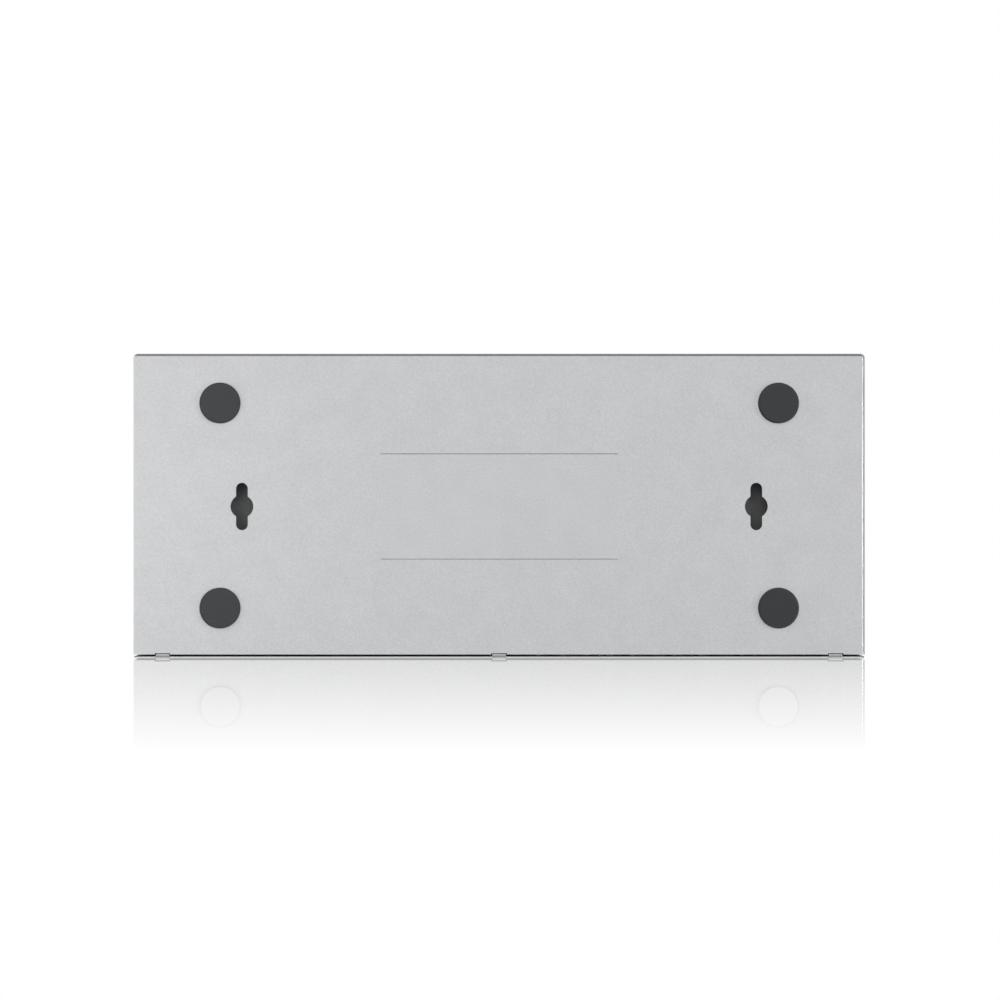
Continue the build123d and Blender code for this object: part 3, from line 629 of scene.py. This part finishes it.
def make_camera():
    """The camera straight below the underside, looking up, with the photograph's top towards +Y."""
    data = bpy.data.cameras.new("camera")
    data.lens = CAMERA_LENS
    data.sensor_width = CAMERA_SENSOR
    data.clip_end = CAMERA_CLIP_END
    camera = bpy.data.objects.new("camera", data)
    bpy.context.scene.collection.objects.link(camera)
    view_width = METRES_PER_PIXEL * PHOTO_PIXELS
    distance = CAMERA_LENS * view_width / CAMERA_SENSOR
    half = PHOTO_PIXELS / 2
    aim_x = (CASE_CENTRE_PIXEL[0] - half) * METRES_PER_PIXEL
    aim_y = (CASE_CENTRE_PIXEL[1] - half) * METRES_PER_PIXEL
    camera.location = (aim_x, aim_y, UNDERSIDE - distance)
    camera.rotation_euler = (0, math.pi, 0)
    bpy.context.scene.camera = camera
    return camera


def stage_plane(name, corners):
    """A flat piece of the stage that only the camera sees, and that throws no shadow."""
    mesh = bpy.data.meshes.new(name)
    mesh.from_pydata(corners, [], [(0, 1, 2, 3)])
    mesh.update()
    plane = bpy.data.objects.new(name, mesh)
    bpy.context.scene.collection.objects.link(plane)
    plane.visible_diffuse = False
    plane.visible_glossy = False
    plane.visible_transmission = False
    plane.visible_shadow = False
    return plane


def stage_material(name):
    """An empty node tree with an output, and a shader that lets the back of the surface through."""
    material = bpy.data.materials.new(name)
    material.use_nodes = True
    tree = material.node_tree
    tree.nodes.clear()
    output = tree.nodes.new("ShaderNodeOutputMaterial")
    one_sided = tree.nodes.new("ShaderNodeMixShader")
    geometry = tree.nodes.new("ShaderNodeNewGeometry")
    clear = tree.nodes.new("ShaderNodeBsdfTransparent")
    tree.links.new(geometry.outputs["Backfacing"], one_sided.inputs["Fac"])
    tree.links.new(clear.outputs["BSDF"], one_sided.inputs[2])
    tree.links.new(one_sided.outputs["Shader"], output.inputs["Surface"])
    return material, tree, one_sided.inputs[1]


def white_glow(tree):
    """A plain white that renders as white."""
    glow = tree.nodes.new("ShaderNodeEmission")
    glow.inputs["Color"].default_value = (1, 1, 1, 1)
    glow.inputs["Strength"].default_value = 1.0
    return glow.outputs["Emission"]


FLOOR_REACH = 4.0
FLOOR_SHADOW_END = 0.3
FLOOR_WHITE_START = 0.9
FLOOR_DARK = (0.84, 0.84, 0.84)
FLOOR_LIGHT = (0.85, 0.85, 0.85)
FLOOR_CLOUD_SIZE = 60 * MM


def make_floor():
    """A pale floor that shows from above, with the shadow near the object and plain white further out."""
    floor = stage_plane(
        "floor",
        [(-FLOOR_REACH, -FLOOR_REACH, 0), (FLOOR_REACH, -FLOOR_REACH, 0),
         (FLOOR_REACH, FLOOR_REACH, 0), (-FLOOR_REACH, FLOOR_REACH, 0)],
    )
    material, tree, front = stage_material("floor_white")
    pale = tree.nodes.new("ShaderNodeBsdfDiffuse")
    cloud = noise(tree, FLOOR_CLOUD_SIZE)
    tree.links.new(tones(tree, cloud, FLOOR_DARK, FLOOR_LIGHT), pale.inputs["Color"])
    length = tree.nodes.new("ShaderNodeVectorMath")
    length.operation = "LENGTH"
    tree.links.new(place_of(tree), length.inputs[0])
    fade = tree.nodes.new("ShaderNodeMixShader")
    tree.links.new(
        spread(tree, length.outputs["Value"], 0.0, 1.0, FLOOR_SHADOW_END, FLOOR_WHITE_START),
        fade.inputs["Fac"],
    )
    tree.links.new(pale.outputs["BSDF"], fade.inputs[1])
    tree.links.new(white_glow(tree), fade.inputs[2])
    tree.links.new(fade.outputs["Shader"], front)
    paint(floor, material)


MIRROR_RISE = 0.22 * MM
MIRROR_STRENGTH = 0.66
MIRROR_FADE_PIXELS = 94
MIRROR_REACH = 2.0
MIRROR_NEAR_SHARE = 0.95


def make_mirror(camera):
    """The polished white surface under the standing edge: it mirrors the case and fades towards the camera."""
    height = CASE_FRONT + MIRROR_RISE
    near = camera.location.z * MIRROR_NEAR_SHARE
    mirror = stage_plane(
        "mirror",
        [(-MIRROR_REACH, height, 0), (MIRROR_REACH, height, 0),
         (MIRROR_REACH, height, near), (-MIRROR_REACH, height, near)],
    )
    material, tree, front = stage_material("mirror_white")
    gloss = tree.nodes.new("ShaderNodeBsdfGlossy")
    gloss.inputs["Color"].default_value = (1, 1, 1, 1)
    gloss.inputs["Roughness"].default_value = 0.0
    distance = UNDERSIDE - camera.location.z
    rise = camera.location.y - height
    offset = MIRROR_FADE_PIXELS * METRES_PER_PIXEL
    depth = calculate(tree, "MULTIPLY", coordinate(tree, "Z"), -1.0)
    lower = calculate(tree, "DIVIDE", depth, calculate(tree, "SUBTRACT", distance, depth))
    share = spread(tree, lower, MIRROR_STRENGTH, 0.0, 0.0, offset / rise)
    mixed = tree.nodes.new("ShaderNodeMixShader")
    tree.links.new(share, mixed.inputs["Fac"])
    tree.links.new(white_glow(tree), mixed.inputs[1])
    tree.links.new(gloss.outputs["BSDF"], mixed.inputs[2])
    tree.links.new(mixed.outputs["Shader"], front)
    paint(mirror, material)


AMBIENT = 0.16
FLAG_DARKNESS = 0.97
FLAG_SIDE_START = 0.55
FLAG_SIDE_FULL = 0.75
FLAG_LOW_FULL = 0.1
FLAG_LOW_END = 0.5


def make_world():
    """White to the camera, in gloss and in glass. Dark flags at front and rear show in gloss alone."""
    world = bpy.data.worlds.new("studio")
    world.use_nodes = True
    bpy.context.scene.world = world
    tree = world.node_tree
    background = tree.nodes["Background"]
    path = tree.nodes.new("ShaderNodeLightPath")
    seen = calculate(tree, "MAXIMUM", path.outputs["Is Camera Ray"], path.outputs["Is Transmission Ray"])
    seen = calculate(tree, "MAXIMUM", seen, path.outputs["Is Glossy Ray"])
    direction = tree.nodes.new("ShaderNodeSeparateXYZ")
    tree.links.new(tree.nodes.new("ShaderNodeTexCoord").outputs["Generated"], direction.inputs["Vector"])
    sideways = calculate(tree, "ABSOLUTE", direction.outputs["Y"])
    sideways = spread(tree, sideways, 0.0, 1.0, FLAG_SIDE_START, FLAG_SIDE_FULL)
    low = spread(tree, direction.outputs["Z"], 1.0, 0.0, FLAG_LOW_FULL, FLAG_LOW_END)
    flag = calculate(tree, "MULTIPLY", sideways, low)
    flag = calculate(tree, "MULTIPLY", flag, path.outputs["Is Glossy Ray"])
    level = calculate(tree, "SUBTRACT", 1.0, calculate(tree, "MULTIPLY", flag, FLAG_DARKNESS))
    grey = tree.nodes.new("ShaderNodeCombineColor")
    for socket in ("Red", "Green", "Blue"):
        tree.links.new(level, grey.inputs[socket])
    ambient = (AMBIENT, AMBIENT, AMBIENT)
    tree.links.new(blended(tree, seen, ambient, grey.outputs["Color"]), background.inputs["Color"])
    background.inputs["Strength"].default_value = 1.0


def soft_lamp(name, place, aim, size, watts):
    """A square soft box aimed at a point."""
    data = bpy.data.lights.new(name, "AREA")
    data.shape = "SQUARE"
    data.size = size
    data.energy = watts
    lamp = bpy.data.objects.new(name, data)
    bpy.context.scene.collection.objects.link(lamp)
    lamp.visible_camera = False
    lamp.location = place
    lamp.rotation_euler = (Vector(aim) - Vector(place)).to_track_quat("-Z", "Y").to_euler()
    return lamp


# Lamps: the name, the place, the point aimed at, the size and the watts

UNDER_FILLS = (
    ("under_front", (0, 0.32, -0.38), (0, 0, 0), 0.4, 0.62),
    ("under_left", (0.2, 0, -0.12), (0.1, 0, 0), 0.12, 0.125),
    ("under_right", (-1.0, 0, -0.8), (0, 0, 0), 0.4, 5.8),
)
EDGE_GLINTS = (
    ("glint_right", (-0.85, 0, -0.49), (-0.1, 0, 0), 0.1, 0.6),
    ("side_left", (1.1, 0, -0.1), (0.1, 0, 0), 0.5, 0.3),
    ("side_right", (-1.1, 0, -0.1), (-0.1, 0, 0), 0.5, 0.15),
)
WALL_FILLS = (
    ("front", (-0.3, -1.0, 0.2), (0, 0, 0.01), 0.6, 8.5),
    ("rear", (0.3, 1.0, 0.2), (0, 0, 0.01), 0.6, 3.5),
    ("above_side", (0.85, -0.3, 0.6), (0, 0, 0.01), 0.5, 2.6),
    ("above_rear", (0.25, 0.55, 0.95), (0, 0, 0.01), 0.6, 4.2),
    ("above_left", (-0.8, 0.25, 0.65), (0, 0, 0.01), 0.5, 2.4),
)


def make_lamps():
    """Fills that don't show in gloss, under the case and around it, and weak boxes that show only in gloss."""
    for settings in UNDER_FILLS:
        soft_lamp(*settings).visible_glossy = False
    for settings in EDGE_GLINTS:
        soft_lamp(*settings).visible_diffuse = False
    for settings in WALL_FILLS:
        soft_lamp(*settings).visible_glossy = False


bpy.context.scene.view_settings.view_transform = "Standard"
dress_nodes()
ink = printing_ink()
port_numbers(ink)
light_numbers(ink)
photo_camera = make_camera()
make_floor()
make_mirror(photo_camera)
make_world()
make_lamps()
